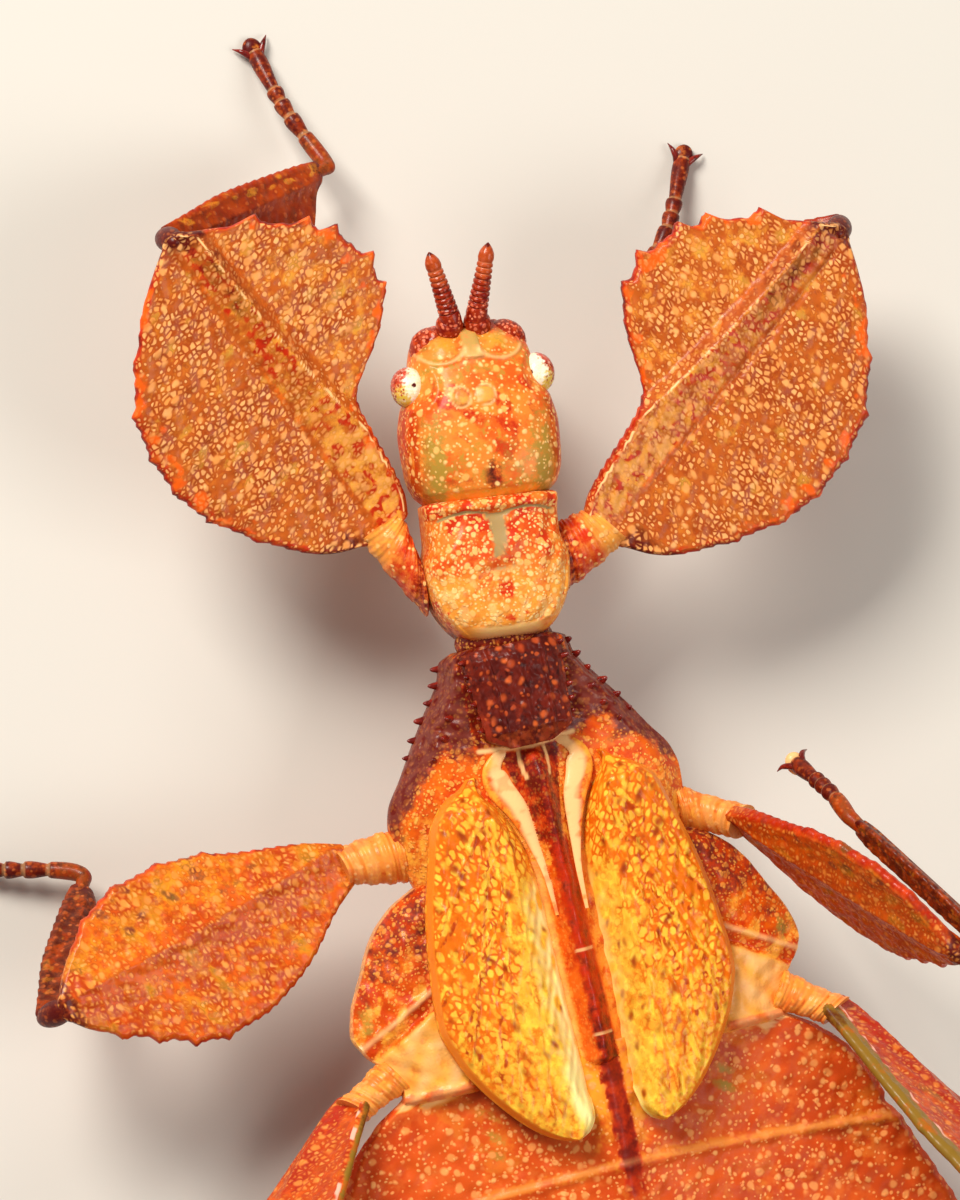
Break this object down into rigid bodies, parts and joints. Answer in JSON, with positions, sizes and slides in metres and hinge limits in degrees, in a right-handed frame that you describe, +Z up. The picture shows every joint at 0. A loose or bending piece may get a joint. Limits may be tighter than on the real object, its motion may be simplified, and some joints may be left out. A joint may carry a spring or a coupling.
{
  "type": "leaf insect",
  "caption": "Still, life-size leaf insect in a standing pose: a flat leaf-like body with short wing pads and broad leaf-like lobes on its legs, one middle leg raised.",
  "frame": {"origin": "centre of the bounding box in X and Y, on the floor the feet stand on", "axes": "+Z up, -Y toward the head, +Y toward the tail, +X toward the insect's own left side"},
  "size_m": [0.0454, 0.0758, 0.0141],
  "materials": {
    "head": "waxy orange cuticle with cream dots",
    "eyes": "smooth cream eye speckled brown",
    "antennae": "maroon, ringed pale",
    "mouth": "dark red-brown",
    "thorax": "grained maroon and orange cuticle",
    "wing_pads": "smooth golden orange with raised veins",
    "abdomen": "waxy red-brown with cream dots",
    "leg_blades": "waxy red-orange with pale cells",
    "feet": "dark red-brown"
  },
  "bodies": {
    "root": {"head": "head", "eye_left": "eyes", "eye_right": "eyes", "antenna_left": "antennae", "antenna_right": "antennae", "mouthparts": "mouth", "prothorax": "thorax", "mesothorax": "thorax", "metathorax": "thorax", "wing_pad_left": "wing_pads", "wing_pad_right": "wing_pads", "abdomen": "abdomen", "cercus_left": "abdomen", "cercus_right": "abdomen", "coxa_fore_left": "leg_blades", "femur_fore_left": "leg_blades", "tibia_fore_left": "feet", "tarsus_fore_left": "feet", "coxa_fore_right": "leg_blades", "femur_fore_right": "leg_blades", "tibia_fore_right": "feet", "tarsus_fore_right": "feet", "coxa_mid_left": "leg_blades", "femur_mid_left": "leg_blades", "tibia_mid_left": "feet", "tarsus_mid_left": "feet", "coxa_mid_right": "leg_blades", "femur_mid_right": "leg_blades", "tibia_mid_right": "feet", "tarsus_mid_right": "feet", "coxa_hind_left": "leg_blades", "femur_hind_left": "leg_blades", "tibia_hind_left": "feet", "tarsus_hind_left": "feet", "coxa_hind_right": "leg_blades", "femur_hind_right": "leg_blades", "tibia_hind_right": "feet", "tarsus_hind_right": "feet"}
  },
  "joints": []
}
